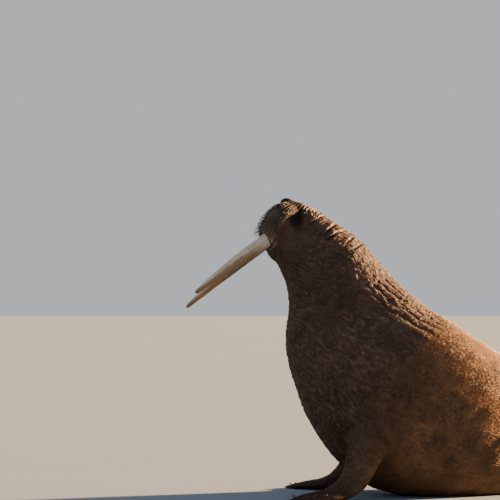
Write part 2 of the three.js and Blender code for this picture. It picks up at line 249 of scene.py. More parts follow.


# Thick walrus hide: dull, blotched, the bosses paler, and painted shade makes the creases, pits and slits nearly
# black
def creasedHide():
    material, tree = newMaterial("creased hide")
    place = addNode(tree, "ShaderNodeTexCoord").outputs["Object"]
    mark = marksOf(tree, "boss", "paintedShadeAndSpots", "pale", "bare", "hair")
    blotch = noiseOf(tree, place, {"Scale": 9.0, "Detail": 5.0, "Roughness": 0.6})
    grain = noiseOf(tree, place, {"Scale": 95.0, "Detail": 4.0, "Roughness": 0.7})
    spread = stretchedBetween(tree, blotch, 0.36, 0.64)
    colour = blendColours(tree, spread, toLinear(hideLook["dark"]), toLinear(hideLook["middle"]))
    speck = stretchedBetween(tree, grain, 0.5, 0.78, 0.55)
    colour = blendColours(tree, speck, colour, toLinear(hideLook["light"]))
    # One of these marks lays painted shade, near black, over creases, pits, slits and the nose top.
    for name in ("pale", "bare", "boss", "paintedShadeAndSpots", "hair"):
        colour = blendColours(tree, mark[name], colour, toLinear(hideLook[name]))
    # A net of fine wrinkles about 12 mm apart, and pores and hair roots about 2 mm apart
    net = addNode(tree, "ShaderNodeTexVoronoi", {"Scale": 85.0}, {"Vector": place}, feature="DISTANCE_TO_EDGE")
    pores = noiseOf(tree, place, {"Scale": 420.0, "Detail": 2.0})
    normal = bumped(tree, stretchedBetween(tree, net.outputs["Distance"], 0.0, 0.12), 0.35, 0.0016)
    normal = bumped(tree, grain, 0.6, 0.003, normal)
    normal = bumped(tree, pores, 0.4, 0.0008, normal)
    rough = addNode(tree, "ShaderNodeMapRange", {"To Min": 0.5, "To Max": 0.78}, {"Value": grain})
    # Bare hide is duller than haired hide.
    gloss = addNode(tree, "ShaderNodeMapRange", {"To Min": 0.28, "To Max": 0.03}, {"Value": mark["bare"]})
    shader = addNode(tree, "ShaderNodeBsdfPrincipled", {"IOR": 1.45}, {
        "Base Color": colour, "Roughness": rough.outputs[0], "Normal": normal,
        "Specular IOR Level": gloss.outputs[0]})
    addNode(tree, "ShaderNodeOutputMaterial", links={"Surface": shader.outputs[0]})
    return material


ivoryLook = {"pale": "#c6bead", "backBrown": "#85603a", "crack": "#51443a", "tip": "#aa9b83"}


# Worn ivory: satin, greyish cream, browner along the back and cracked lengthwise
def wornIvory():
    material, tree = newMaterial("worn ivory")
    place = addNode(tree, "ShaderNodeTexCoord").outputs["Object"]
    mark = marksOf(tree, "backBrown", "crack")
    cloud = noiseOf(tree, place, {"Scale": 38.0, "Detail": 5.0, "Roughness": 0.65})
    patch = stretchedBetween(tree, cloud, 0.35, 0.72, 0.6)
    colour = blendColours(tree, patch, toLinear(ivoryLook["pale"]), toLinear(ivoryLook["tip"]))
    colour = blendColours(tree, mark["backBrown"], colour, toLinear(ivoryLook["backBrown"]))
    colour = blendColours(tree, mark["crack"], colour, toLinear(ivoryLook["crack"]))
    normal = bumped(tree, cloud, 0.3, 0.001)
    rough = addNode(tree, "ShaderNodeMapRange", {"To Min": 0.28, "To Max": 0.5}, {"Value": cloud})
    shader = addNode(tree, "ShaderNodeBsdfPrincipled", {"IOR": 1.54},
                     {"Base Color": colour, "Roughness": rough.outputs[0], "Normal": normal})
    addNode(tree, "ShaderNodeOutputMaterial", links={"Surface": shader.outputs[0]})
    return material


def plainFinish(name, low, high, scale, roughness, ior):
    material, tree = newMaterial(name)
    place = addNode(tree, "ShaderNodeTexCoord").outputs["Object"]
    cloud = noiseOf(tree, place, {"Scale": scale, "Detail": 3.0})
    spread = stretchedBetween(tree, cloud, 0.35, 0.65)
    colour = blendColours(tree, spread, toLinear(low), toLinear(high))
    values = {"Roughness": roughness, "IOR": ior}
    shader = addNode(tree, "ShaderNodeBsdfPrincipled", values, {"Base Color": colour})
    addNode(tree, "ShaderNodeOutputMaterial", links={"Surface": shader.outputs[0]})
    return material


hide = creasedHide()
ivory = wornIvory()
wetEye = plainFinish("wet dark eye", "#0d0806", "#22140d", 60.0, 0.12, 1.36)
bristleHorn = plainFinish("brown horny bristle", "#211913", "#3d2f22", 120.0, 0.7, 1.55)
clawHorn = plainFinish("dark claw horn", "#2b211b", "#54443a", 90.0, 0.35, 1.55)
sweepPaint = plainFinish("pale matt floor", "#6c7b8d", "#6e7d8f", 0.6, 0.9, 1.45)
print("materials made")

# Camera and light come from the photo: seen level with the left side from far off, sun low behind its back.
view = {"distance": 20.0, "height": 1.265, "aim": 1.3475, "width": 2.75, "behindChest": -0.209}
centreX = shift.x + view["behindChest"]
camera = bpy.data.objects.new("camera", bpy.data.cameras.new("camera"))
bpy.context.scene.collection.objects.link(camera)
camera.data.sensor_width = 36
camera.data.lens = 36 * view["distance"] / view["width"]
camera.data.clip_end = 200
camera.location = (centreX, shift.y - view["distance"], view["height"])
aim = Vector((centreX, shift.y, view["aim"])) - camera.location
camera.rotation_euler = aim.to_track_quat("-Z", "Y").to_euler()
bpy.context.scene.camera = camera

sun = {"towards": (0.90, 0.41, 0.19), "strength": 50.0, "colour": "#ffcc92", "softness": 4}
light = bpy.data.objects.new("key", bpy.data.lights.new("key", "SUN"))
bpy.context.scene.collection.objects.link(light)
light.data.energy = sun["strength"]
light.data.angle = math.radians(sun["softness"])
light.data.color = toLinear(sun["colour"])[:3]
light.rotation_euler = Vector(sun["towards"]).to_track_quat("Z", "Y").to_euler()
room = {"colour": "#e8ecf3", "strength": 0.66}
world = bpy.data.worlds.new("pale room")
bpy.context.scene.world = world
world.use_nodes = True
world.node_tree.nodes["Background"].inputs[0].default_value = toLinear(room["colour"])
world.node_tree.nodes["Background"].inputs[1].default_value = room["strength"]
bpy.ops.mesh.primitive_circle_add(vertices=96, radius=70, fill_type="NGON")
floor = bpy.context.object
floor.name = "floor"
floor.data.materials.append(sweepPaint)
print("camera, light and floor set")

# The skin starts as one closed surface round every piece of flesh.
skinSizes = {"voxel": 0.007, "coatDepth": 0.0022}
fleshNodes = ["head", "neck", "chest", "belly", "hips", "tail", "lower_jaw",
              "fore_flipper_left", "fore_flipper_right", "hind_flipper_left", "hind_flipper_right"]
# Whisker pads, upper lip, nose and lids, in the head's frame: middle, half lengths and tilt
swellings = {
    "pad": {"at": (-0.301, 0.066, -0.002), "size": (0.080, 0.090, 0.114), "tilt": -8, "paired": True},
    "upperLip": {"at": (-0.310, 0, -0.090), "size": (0.040, 0.052, 0.047), "tilt": 0, "paired": False},
    "nose": {"at": (-0.330, 0, 0.086), "size": (0.058, 0.068, 0.052), "tilt": 30, "paired": False},
    "lids": {"at": (-0.240, 0.104, 0.098), "size": (0.027, 0.025, 0.027), "tilt": 0, "paired": True},
}


# Tusks, and the sleeve of lip round each root. A ring of the sleeve has a height, a half depth and a half width.
tuskSizes = {
    "root": (-0.264, 0.064, -0.050), "deep": 0.038, "wide": 0.026, "tipDeep": 0.009, "tipWide": 0.007,
    "bow": 0.007,
    "left": {"start": 0.008, "drop": 0.590, "lean": -0.026, "spread": 0.034},
    "right": {"start": 0.0, "drop": 0.636, "lean": 0.002, "spread": 0.040},
}
lipSleeve = {
    "rings": [(-0.044, 0.048, 0.038), (-0.078, 0.059, 0.047), (-0.108, 0.056, 0.044), (-0.129, 0.049, 0.037),
              (-0.137, 0.041, 0.029)],
    "hang": 0.009,
}


def addLipSleeve(build, side, sign):
    x, y, z = tuskSizes["root"]
    around = np.linspace(0, 2 * np.pi, 40, endpoint=False)
    rings = []
    for height, deep, wide in lipSleeve["rings"]:
        drop = lipSleeve["hang"] * np.cos(around) * smoothStep(-height, 0.09, 0.138)
        ring = np.stack([x + tuskSizes[side]["start"] + deep * np.cos(around), sign * y + wide * np.sin(around),
                         height - drop], axis=1)
        rings.append([build.verts.new(p) for p in fromHead(ring)])
    for low, high in zip(rings, rings[1:]):
        for k in range(40):
            build.faces.new((low[k], low[(k + 1) % 40], high[(k + 1) % 40], high[k]))
    build.faces.new(rings[0][::-1])
    build.faces.new(rings[-1])


def fleshMesh():
    build = bmesh.new()
    for name in fleshNodes:
        build.from_mesh(nodes[name].data)
    for part in swellings.values():
        for sign in (-1, 1) if part["paired"] else (1,):
            x, y, z = part["at"]
            tilt = Matrix.Rotation(math.radians(part["tilt"]), 4, "Y")
            place = headMatrix @ Matrix.Translation((x, y * sign, z)) @ tilt @ Matrix.Diagonal((*part["size"], 1))
            bmesh.ops.create_icosphere(build, subdivisions=5, radius=1, matrix=place)
    for side, sign in sides.items():
        addLipSleeve(build, side, sign)
    bmesh.ops.triangulate(build, faces=build.faces)
    mesh = bpy.data.meshes.new("flesh")
    build.to_mesh(mesh)
    build.free()
    rough = bpy.data.objects.new("flesh", mesh)
    bpy.context.scene.collection.objects.link(rough)
    remesh = rough.modifiers.new("remesh", "REMESH")
    remesh.mode = "VOXEL"
    remesh.voxel_size = skinSizes["voxel"]
    whole = bpy.data.meshes.new_from_object(rough.evaluated_get(bpy.context.evaluated_depsgraph_get()))
    bpy.data.objects.remove(rough)
    return whole


def splitFaces(mesh, chosen):
    build = bmesh.new()
    build.from_mesh(mesh)
    build.faces.ensure_lookup_table()
    edges = {e for i in np.flatnonzero(chosen) for e in build.faces[i].edges}
    bmesh.ops.subdivide_edges(build, edges=list(edges), cuts=1, use_grid_fill=True)
    finer = bpy.data.meshes.new("skin")
    build.to_mesh(finer)
    build.free()
    return finer


def faceCentres(mesh):
    centres = np.empty(len(mesh.polygons) * 3, np.float32)
    mesh.polygons.foreach_get("center", centres)
    return centres.reshape(-1, 3).astype(float)


# The line down the middle of the body, from the nose to the tail, in the photo's plane: x, z and half depth
spine = np.array([
    (-0.090, 1.545, 0.07), (-0.030, 1.480, 0.13), (0.050, 1.410, 0.18), (0.160, 1.300, 0.20), (0.235, 1.160, 0.24),
    (0.310, 1.020, 0.32), (0.380, 0.890, 0.40), (0.480, 0.760, 0.46), (0.620, 0.560, 0.48), (0.780, 0.400, 0.46),
    (0.960, 0.310, 0.42), (1.200, 0.270, 0.38), (1.500, 0.245, 0.33), (1.750, 0.225, 0.27), (2.000, 0.180, 0.20),
    (2.200, 0.125, 0.12), (2.400, 0.085, 0.05)])

# The back turns aside, towards +Y, by this angle between two places along X.
bend = {"from": 0.480, "to": 1.180, "angle": 40}
bendFull = math.radians(bend["angle"])
bendRadius = (bend["to"] - bend["from"]) / bendFull


def bendTurn(x):
    return bendFull * np.clip((x - bend["from"]) / (bend["to"] - bend["from"]), 0, 1)


def turnedAside(ways, turn):
    x, y = ways[..., 0], ways[..., 1]
    c, s = np.cos(turn), np.sin(turn)
    return np.stack([x * c - y * s, x * s + y * c, ways[..., 2]], axis=-1)


def bent(place):
    # Puts the bend into places of the straight body
    turn = bendTurn(place[..., 0])
    beyond = np.maximum(place[..., 0] - bend["to"], 0)
    x = bend["from"] + bendRadius * np.sin(turn) + beyond * np.cos(turn) - place[..., 1] * np.sin(turn)
    y = bendRadius * (1 - np.cos(turn)) + beyond * np.sin(turn) + place[..., 1] * np.cos(turn)
    return np.stack([np.where(turn > 0, x, place[..., 0]), y, place[..., 2]], axis=-1)


def straightened(points):
    # Takes the bend out, and gives places in the solids' own frame
    place = points - np.array(shift)
    dx, dy = place[:, 0] - bend["from"], bendRadius - place[:, 1]
    turn = np.arctan2(dx, dy)
    end = np.array([bend["from"] + bendRadius * math.sin(bendFull), bendRadius * (1 - math.cos(bendFull))])
    past = place[:, :2] - end
    straight = np.array([math.cos(bendFull), math.sin(bendFull)])
    x = np.where(dx > 0, bend["from"] + bendRadius * turn, place[:, 0])
    y = np.where(dx > 0, bendRadius - np.hypot(dx, dy), place[:, 1])
    x = np.where(turn > bendFull, bend["to"] + past @ straight, x)
    y = np.where(turn > bendFull, past @ [-straight[1], straight[0]], y)
    return np.stack([x, y, place[:, 2]], axis=1)


def alongBody(points):
    # For each point: how far along the spine it is in metres, its angle from the back, and its distance out
    points = straightened(points)
    spineLine = spine[:, :2]
    steps = np.linalg.norm(np.diff(spineLine, axis=0), axis=1)
    marks = np.concatenate([[0], np.cumsum(steps)])
    fine = np.linspace(0, marks[-1], 240)
    line = np.stack([np.interp(fine, marks, spineLine[:, k]) for k in (0, 1)], axis=1)
    for _ in range(12):
        line[1:-1] = (line[:-2] + 2 * line[1:-1] + line[2:]) / 4
    tangent = np.gradient(line, axis=0)
    tangent /= np.linalg.norm(tangent, axis=1)[:, None]
    best = np.zeros(len(points), int)
    for start in range(0, len(points), 20000):
        block = points[start:start + 20000, None, [0, 2]] - line[None]
        best[start:start + 20000] = (block ** 2).sum(2).argmin(1)
    gap = points[:, [0, 2]] - line[best]
    t = tangent[best]
    s = fine[best] + (gap * t).sum(1)
    up = gap[:, 0] * -t[:, 1] + gap[:, 1] * t[:, 0]
    # up is towards the back, which lies on the side away from the ground and the throat
    angle = np.arctan2(points[:, 1], up)
    way = turnedAside(np.stack([t[:, 0], np.zeros(len(points)), t[:, 1]], axis=1), bendTurn(points[:, 0]))
    return s, angle, np.hypot(points[:, 1], up), way


# Flippers, in the solids' frame: the middle line from the root to the tip, and half widths with half thicknesses
flippers = {
    "fore": {
        "line": [(0.452, 0.290, 0.420), (0.410, 0.398, 0.240), (0.334, 0.458, 0.086), (0.240, 0.520, 0.034),
                 (0.150, 0.590, 0.022), (0.062, 0.664, 0.009)],
        "sizes": [(0.124, 0.096), (0.122, 0.084), (0.114, 0.058), (0.128, 0.038), (0.142, 0.026), (0.118, 0.010)],
        "across": (0.5, 0.86, 0), "reach": lambda c: 0.034 - 0.046 * (c + 0.35) ** 2,
        "clawAt": 0.86, "clawLength": 0.024},
    "hind": {
        "line": [(2.060, 0.112, 0.140), (2.190, 0.158, 0.096), (2.295, 0.198, 0.046), (2.400, 0.244, 0.027),
                 (2.505, 0.294, 0.016), (2.595, 0.338, 0.007)],
        "sizes": [(0.108, 0.092), (0.100, 0.070), (0.106, 0.042), (0.136, 0.029), (0.174, 0.017), (0.198, 0.008)],
        "across": (-0.42, 0.9, 0), "reach": lambda c: 0.086 * c * c - 0.010, "clawAt": 0.8, "clawLength": 0.026},
}


def curveAt(stops, t):
    # A centripetal Catmull-Rom curve, as the solids have
    stops = np.asarray(stops, float)
    ends = np.concatenate([[2 * stops[0] - stops[1]], stops, [2 * stops[-1] - stops[-2]]])
    gaps = (np.diff(ends, axis=0) ** 2).sum(1) ** 0.25
    p = np.asarray(t, float) * (len(stops) - 1)
    i = np.clip(p.astype(int), 0, len(stops) - 2)
    w = (p - i)[..., None]
    x0, x1, x2, x3 = (ends[i + k] for k in range(4))
    d0, d1, d2 = (gaps[i + k][..., None] for k in range(3))
    t1 = d1 * ((x1 - x0) / d0 - (x2 - x0) / (d0 + d1) + (x2 - x1) / d1)
    t2 = d1 * ((x2 - x1) / d1 - (x3 - x1) / (d1 + d2) + (x3 - x2) / d2)
    return x1 + w * t1 + w ** 2 * (3 * (x2 - x1) - 2 * t1 - t2) + w ** 3 * (2 * (x1 - x2) + t1 + t2)


def digitRidge(c):
    return 0.5 + 0.5 * np.cos(np.pi * (5 * (c + 1) - 1))


def flipperPoint(kind, sign, t, c, lift):
    part = flippers[kind]
    mirror = np.array([1, sign, 1])
    line = np.array(part["line"]) * mirror
    along = curveAt(line, t + 1e-4) - curveAt(line, t - 1e-4)
    along /= np.linalg.norm(along, axis=-1)[..., None]
    across = np.array(part["across"]) * mirror
    across = across / np.linalg.norm(across)
    sideways = across - along * (along @ across)[..., None]
    sideways /= np.linalg.norm(sideways, axis=-1)[..., None]
    up = np.cross(along, sideways)
    up *= np.where(up[..., 2:] < 0, -1, 1)
    sizes = curveAt(part["sizes"], t)
    spread = smoothStep(t, 0.5, 1)
    out = spread * (part["reach"](c) + 0.026 * (digitRidge(c) - 0.5))
    swell = 1 + 0.62 * spread * (digitRidge(c) - 0.6)
    point = (curveAt(line, t) + along * out[..., None] + sideways * (c * sizes[..., 0])[..., None]
             + up * (lift * sizes[..., 1] * swell)[..., None])
    turn = bendTurn(point[..., 0])
    return bent(point) + np.array(shift), turnedAside(along, turn), turnedAside(up, turn)


def flipperPlaces(points):
    # For each point on a flipper: how far out it is, its place across, its side (1 is on top) and the way outward
    far, side, top = (np.zeros(len(points)) for _ in range(3))
    way = np.zeros((len(points), 3))
    t, c, h = np.meshgrid(np.linspace(0.18, 1, 56), np.linspace(-1, 1, 61), [-1.0, 1.0], indexing="ij")
    t, c, h = t.ravel(), c.ravel(), h.ravel()
    lift = h * (1 - np.abs(c) ** 2.6) ** 0.55
    for kind in flippers:
        for sign in (-1, 1):
            grid, along, up = flipperPoint(kind, sign, t, c, lift)
            tree = KDTree(len(grid))
            for i, p in enumerate(grid):
                tree.insert(p, i)
            tree.balance()
            low, high = grid.min(0) - 0.03, grid.max(0) + 0.03
            for i in np.flatnonzero(((points > low) & (points < high)).all(1)):
                place, nearest, gap = tree.find(points[i])
                if gap < 0.028:
                    far[i], side[i], top[i], way[i] = t[nearest], c[nearest], h[nearest], along[nearest]
    return far, side, top, way


mesh = fleshMesh()
points = pointsOf(mesh)
inHead = toHead(points)
print("flesh joined", len(points))

# The flat cuts and facets of the solids are smoothed away, less on the head and least on the flippers.
# Then the faces are split, once up to the middle of the back and on the flippers, and once more on the face.
smoothing = {"strength": 0.5, "rounds": 46, "headKeeps": 0.68, "flipperKeeps": 0.9, "splitStrength": 0.4,
             "splitRounds": 3, "splitTo": 0.98, "faceTo": -0.165}
edges = edgesOf(mesh)
headness = 1 - smoothStep(inHead[:, 0], -0.16, -0.02)
far = flipperPlaces(points)[0]
strength = smoothing["strength"] * (1 - smoothing["headKeeps"] * headness)
strength *= 1 - smoothing["flipperKeeps"] * smoothStep(far, 0.25, 0.5)
points = relaxed(points, edges, strength, smoothing["rounds"])
mesh.vertices.foreach_set("co", points.astype(np.float32).ravel())
for level in range(2):
    centre = faceCentres(mesh)
    near = toHead(centre)[:, 0]
    s = alongBody(centre)[0]
    chosen = near < (smoothing["faceTo"] if level else 0.0)
    if not level:
        place = straightened(centre)
        onFore = (place[:, 0] < 0.5) & (np.abs(place[:, 1]) > 0.42) & (place[:, 2] < 0.2)
        onHind = place[:, 0] > 2.2
        chosen |= (s < smoothing["splitTo"]) | onHind | onFore
    mesh = splitFaces(mesh, chosen)
    points = pointsOf(mesh)
    strength = np.full(len(points), smoothing["splitStrength"])
    points = relaxed(points, edgesOf(mesh), strength, smoothing["splitRounds"])
    mesh.vertices.foreach_set("co", points.astype(np.float32).ravel())
    mesh.update()
print("skin refined", len(points))

# Folds, bosses and wrinkles of the hide, in metres
folds = {
    "napeAt": (-0.162, -0.096, -0.034, 0.030, 0.082), "napeCut": (0.010, 0.017, 0.018, 0.010, 0.006),
    "napeReach": (0.55, 0.85, 1.0, 0.6, 0.8), "napeWidth": 0.0075,
    "shoulderDepth": 0.0085, "shoulderFrom": 0.55, "shoulderTo": 1.05, "shoulderSpacing": 0.052,
    "bossSize": 0.038, "bossHeight": 0.0058, "netSize": 0.034, "netDepth": 0.0022,
    "pleatSpacing": 0.019, "pleatDepth": 0.0020, "browSpacing": 0.016, "browDepth": 0.0038,
}
inHead = toHead(points)
normals = normalsOf(mesh)
s, angle, out, bodyWay = alongBody(points)
far, acrossFlipper, topSide, flipperWay = flipperPlaces(points)
web = smoothStep(far, 0.34, 0.62)
onHead = 1 - smoothStep(inHead[:, 0], -0.10, 0.0)
wave = softNoise(points, 0.07, 21, 2)
height = 0.005 * softNoise(points, 0.24, 5, 2) * (1 - onHead)
# Painted shade: this mask darkens creases, folds, pits and slits towards near black.
paintedShadeAndSpots = np.zeros(len(points))
across = np.abs(angle)

for k, at in enumerate(folds["napeAt"]):
    line = inHead[:, 0] + 0.010 * softNoise(points, 0.09, 40 + k, 1)
    line += 0.018 * smoothStep(across, 0.2, 1.3) * (-1) ** k
    end = folds["napeReach"][k] + 0.1 * softNoise(points, 0.07, 90 + k, 1)
    reach = (1 - smoothStep(across, end - 0.25, end + 0.3)) * smoothStep(inHead[:, 2], 0.02, 0.1)
    cut = bell(line, at, folds["napeWidth"]) * reach * (0.4 + 0.6 * smoothStep(across, 0.08, 0.4))
    height += folds["napeCut"][k] * (0.45 * bell(line, at, 3.2 * folds["napeWidth"]) * reach - cut)
    # Painted shade in the nape creases
    paintedShadeAndSpots = np.maximum(paintedShadeAndSpots, cut * 0.8)

shoulder = smoothStep(s, folds["shoulderFrom"], 0.66) * (1 - smoothStep(s, 0.95, folds["shoulderTo"]))
shoulder *= smoothStep(across, 0.22, 0.45) * (1 - smoothStep(across, 1.0, 1.35))
ridgeLine = angle * 0.36 * np.sign(angle) + 0.09 * (s - 0.8) + 0.016 * wave
ridge = np.abs(np.sin(np.pi * ridgeLine / folds["shoulderSpacing"]))
height += folds["shoulderDepth"] * shoulder * (ridge ** 0.7 - 0.6)
# Painted shade in the valleys between the shoulder folds
paintedShadeAndSpots = np.maximum(paintedShadeAndSpots, 0.55 * shoulder * (1 - smoothStep(ridge, 0.0, 0.3)))

# Soft folds: round the flank, round the hips, curving about each shoulder, and under the belly
place = straightened(points)
shoulderGap = np.hypot(place[:, 0] - 0.43, 1.15 * (place[:, 2] - 0.34))
slow = softNoise(points, 0.30, 81, 2)
flankArea = smoothStep(s, 1.15, 1.35) * (1 - smoothStep(s, 2.0, 2.3)) * smoothStep(across, 0.5, 0.9)
hipArea = smoothStep(s, 2.3, 2.5) * (1 - smoothStep(s, 3.1, 3.2))
shoulderArea = (bell(shoulderGap, 0.215, 0.065) * smoothStep(np.abs(place[:, 1]), 0.25, 0.33)
                * smoothStep(place[:, 0] - 0.3 * place[:, 2], 0.22, 0.42))
bellyArea = smoothStep(s, 0.62, 0.8) * (1 - smoothStep(s, 1.25, 1.5)) * smoothStep(across, 1.9, 2.5)
# Each entry has the coordinate that the folds run across, their spacing, their depth and their area.
softFolds = [
    (s + 0.050 * slow + 0.05 * across, 0.115, 0.0060, flankArea),
    (s + 0.030 * slow - 0.03 * across, 0.072, 0.0050, hipArea),
    (shoulderGap + 0.020 * slow, 0.046, 0.0060, shoulderArea),
    (s + 0.040 * slow, 0.085, 0.0050, bellyArea),
]
for k, (line, spacing, deep, where) in enumerate(softFolds):
    between = 2 * np.abs(line / spacing - np.round(line / spacing))
    broken = smoothStep(softNoise(points, 0.22, 85 + k, 2), -0.35, 0.25) * where * (1 - web) * (1 - onHead)
    height += deep * broken * (between ** 0.7 - 0.55)
    # Painted shade in the valleys of the soft folds
    paintedShadeAndSpots = np.maximum(paintedShadeAndSpots, 0.45 * broken * (1 - smoothStep(between, 0.0, 0.22)))

stretched = np.stack([s * 0.55, angle * np.clip(out, 0.08, 0.5), out * 0.3], axis=1)
fading = place[:, 0] - 0.55 * place[:, 2] + 0.10 * softNoise(points, 0.21, 83, 2)
neckCover = smoothStep(s, 0.16, 0.32) * (1 - smoothStep(fading, 0.08, 0.46)) * (1 - web)
first, second, tag = nearestCells(stretched, folds["netSize"], 3)
net = 1 - smoothStep(second - first, 0.0, 0.009)
height -= folds["netDepth"] * net * neckCover
# Painted shade in the grooves of the wrinkle net
paintedShadeAndSpots = np.maximum(paintedShadeAndSpots, 0.35 * net * neckCover)

boss = np.zeros(len(points))
for size, least, span in ((folds["bossSize"], 0.006, 0.011), (0.6 * folds["bossSize"], 0.004, 0.005)):
    warp = np.stack([softNoise(points, 0.03, 50 + k, 2) for k in range(3)], axis=1)
    first, second, tag = nearestCells(points + 0.005 * warp, size, 17)
    radius = least + span * tag
    here = (tag > 0.4) * neckCover * smoothStep(softNoise(points, 0.2, 8, 1), -0.5, 0.1)
    boss = np.maximum(boss, here * np.sqrt(np.clip(1 - (first / radius) ** 2, 0, 1)) * radius / 0.02)
height += folds["bossHeight"] * boss

throat = smoothStep(across, 1.75, 2.3) * smoothStep(s, 0.2, 0.3) * (1 - smoothStep(s, 0.62, 0.85))
pleat = np.sin(2 * np.pi * (angle * out + 0.012 * wave) / folds["pleatSpacing"])
height += folds["pleatDepth"] * throat * pleat
brow = bell(inHead[:, 0], -0.222, 0.078) * smoothStep(inHead[:, 2], 0.07, 0.13)
browWave = np.sin(2 * np.pi * (inHead[:, 0] + 0.020 * wave) / folds["browSpacing"])
height += folds["browDepth"] * brow * browWave * (0.6 + 0.5 * softNoise(points, 0.035, 23, 2))

# Eyes: a socket for the ball behind an almond opening, and swollen lids round it
eyeLook = {"opening": (0.0155, 0.0085), "depth": 0.011, "rim": 0.0032, "rimWidth": 0.006}
for sign in (-1, 1):
    x, y, z = head["eye"]
    local = inHead - np.array([x, y * sign, z])
    facing = smoothStep(local[:, 1] * sign, 0.0, 0.012)
    ring = np.hypot((local[:, 0] + 0.006) / eyeLook["opening"][0], (local[:, 2] - 0.002) / eyeLook["opening"][1])
    inside = facing * (1 - smoothStep(ring, 0.72, 1.02)) * (np.linalg.norm(local, axis=1) < 0.05)
    height -= eyeLook["depth"] * inside
    around = facing * bell(ring, 1.45, 0.35) * (np.linalg.norm(local, axis=1) < 0.05)
    height += eyeLook["rim"] * around
    # Painted shade round the edge of the eye opening
    paintedShadeAndSpots = np.maximum(paintedShadeAndSpots, 0.9 * facing * bell(ring, 1.0, 0.22) * (np.linalg.norm(local, axis=1) < 0.04))

# Nostrils: two slanting slits at the top of the muzzle
nostril = {"at": (-0.372, 0.024, 0.098), "long": 0.017, "wide": 0.0055, "depth": 0.014, "slant": 28}
for sign in (-1, 1):
    x, y, z = nostril["at"]
    local = inHead - np.array([x, y * sign, z])
    a = math.radians(nostril["slant"]) * sign
    u = local[:, 1] * math.cos(a) - local[:, 2] * math.sin(a)
    v = local[:, 1] * math.sin(a) + local[:, 2] * math.cos(a)
    slit = np.exp(-(u / nostril["wide"]) ** 2 - (v / nostril["long"]) ** 2) * (local[:, 0] < 0.03)
    height -= nostril["depth"] * slit
    height += 0.003 * np.exp(-((np.hypot(u / 1.8, v / 1.5) - 0.014) / 0.005) ** 2) * (np.abs(local[:, 0]) < 0.03)
    # Painted shade in the nostril slits
    paintedShadeAndSpots = np.maximum(paintedShadeAndSpots, slit)

# Ear holes: small pits well behind the eyes, each with a rim
ear = {"at": (-0.098, 0.172, 0.095), "depth": 0.010, "wide": 0.008, "rim": 0.003, "rimAt": 0.013, "rimWide": 0.005}
for sign in (-1, 1):
    x, y, z = ear["at"]
    gap = np.linalg.norm(inHead - np.array([x, sign * y, z]), axis=1)
    pit = bell(gap, 0, ear["wide"])
    height += -ear["depth"] * pit + ear["rim"] * bell(gap, ear["rimAt"], ear["rimWide"])
    # Painted shade in the ear pits
    paintedShadeAndSpots = np.maximum(paintedShadeAndSpots, pit)

# Roots of the whiskers make small bumps in rows over the pads.
whiskerSizes = {"each": 330, "short": 0.013, "long": 0.042, "root": 0.00125, "tip": 0.0004, "sunk": 0.006,
                "curl": 0.16}


def whiskerRoots(sign, count):
    cx, cy, cz = swellings["pad"]["at"]
    size = np.array(swellings["pad"]["size"])
    tilt = np.array(Matrix.Rotation(math.radians(swellings["pad"]["tilt"]), 3, "Y"))
    rng = np.random.default_rng(7 + sign)
    i = np.arange(count)
    forward = 1 - 1.16 * (i + 0.5) / count
    ring = np.sqrt(1 - forward ** 2)
    turn = i * math.pi * (3 - math.sqrt(5)) + 0.3 * rng.random(count)
    ball = np.stack([-forward, ring * np.cos(turn), ring * np.sin(turn)], axis=1)
    # The rows face forward and outward.
    ball = ball @ np.array(Matrix.Rotation(math.radians(-28), 3, "Z")).T
    keep = (ball[:, 1] > -0.42) & (ball[:, 2] < 0.78) & (ball[:, 2] > -0.84) & (ball[:, 0] < 0.25)
    ball, ring, forward = ball[keep], ring[keep], forward[keep]
    root = (ball * size) @ tilt.T
    out = (ball / size) @ tilt.T
    out /= np.linalg.norm(out, axis=1)[:, None]
    root[:, 1] += cy
    mirror = np.array([1, sign, 1])
    return (root + [cx, 0, cz]) * mirror, out * mirror, ring, rng


padness = np.zeros(len(points))
nearPads = np.flatnonzero(inHead[:, 0] < -0.20)
for sign in (-1, 1):
    roots = whiskerRoots(sign, whiskerSizes["each"])[0]
    nearest = np.full(len(nearPads), 1.0)
    for root in roots:
        nearest = np.minimum(nearest, np.linalg.norm(inHead[nearPads] - root, axis=1))
    height[nearPads] += 0.0011 * bell(nearest, 0, 0.0042)
    padness[nearPads] = np.maximum(padness[nearPads], 1 - smoothStep(nearest, 0.012, 0.03))

# The lips swell round each tusk's root.
lip = np.zeros(len(points))
for side, sign in sides.items():
    x, y, z = tuskSizes["root"]
    u = (inHead[:, 0] - x - tuskSizes[side]["start"]) / (tuskSizes["deep"] + 0.006)
    v = (inHead[:, 1] - y * sign) / (tuskSizes["wide"] + 0.006)
    ring = bell(np.hypot(u, v), 1.15, 0.16) * smoothStep(-inHead[:, 2], 0.075, 0.11)
    pleats = 0.75 + 0.25 * np.sin(14 * np.arctan2(v, u) + 3 * softNoise(points, 0.02, 44, 1))
    lip = np.maximum(lip, ring * pleats)
height += 0.009 * lip
# The lips also get random dark spots in the near-black colour that is used for painted shade.
paintedShadeAndSpots = np.maximum(paintedShadeAndSpots, 0.6 * lip * smoothStep(softNoise(points, 0.010, 33, 1), 0.15, 0.4))

